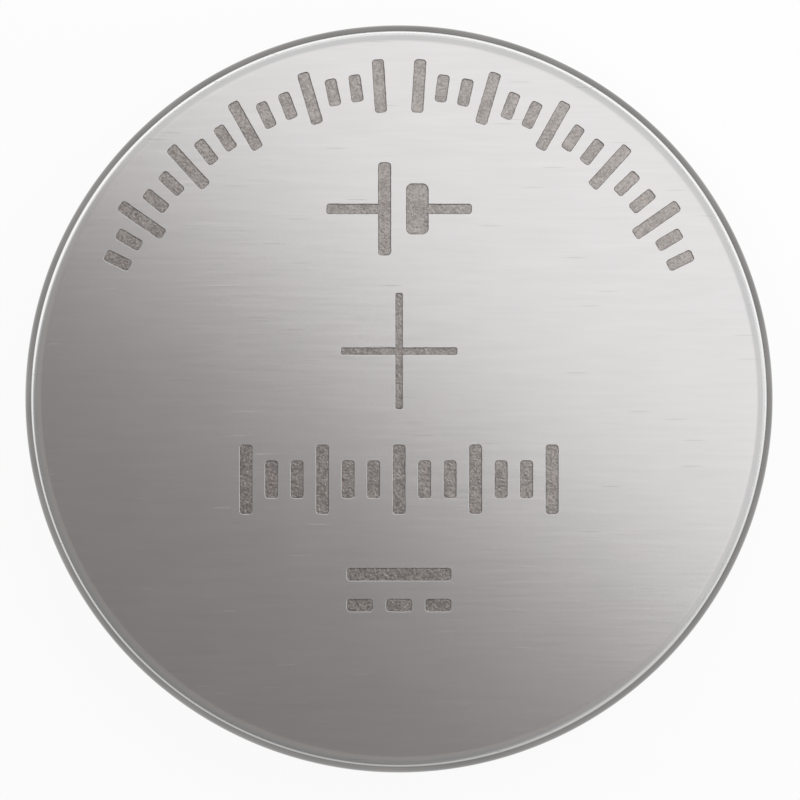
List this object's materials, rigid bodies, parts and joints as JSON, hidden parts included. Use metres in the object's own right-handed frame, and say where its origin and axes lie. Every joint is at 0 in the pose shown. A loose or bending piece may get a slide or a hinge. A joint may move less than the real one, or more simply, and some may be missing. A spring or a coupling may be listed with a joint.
{
  "type": "lithium coin cell",
  "caption": "Flat round lithium coin cell: a steel can crimped through a gasket onto a stepped cap, with electrodes, separator and collector mesh inside.",
  "frame": {"origin": "centre of the negative face, on the cell's axis, at the surface it lies on", "axes": "+Z along the cell's axis and out of the positive face, X and Y across it"},
  "size_m": [0.016, 0.016, 0.002],
  "materials": {
    "can_steel": "bright stainless sheet with a fine straight grain",
    "cap_steel": "bright stainless sheet with a fine straight grain",
    "gasket_plastic": "natural polypropylene, moulded",
    "lithium_metal": "soft dull grey metal",
    "separator_felt": "white non-woven polypropylene",
    "cathode_powder": "pressed black powder",
    "mesh_steel": "plain stainless mesh"
  },
  "bodies": {
    "root": {"positive_can": "can_steel", "gasket": "gasket_plastic", "negative_cap": "cap_steel", "lithium_disc": "lithium_metal", "separator": "separator_felt", "cathode_pellet": "cathode_powder", "collector_mesh": "mesh_steel"}
  },
  "joints": []
}
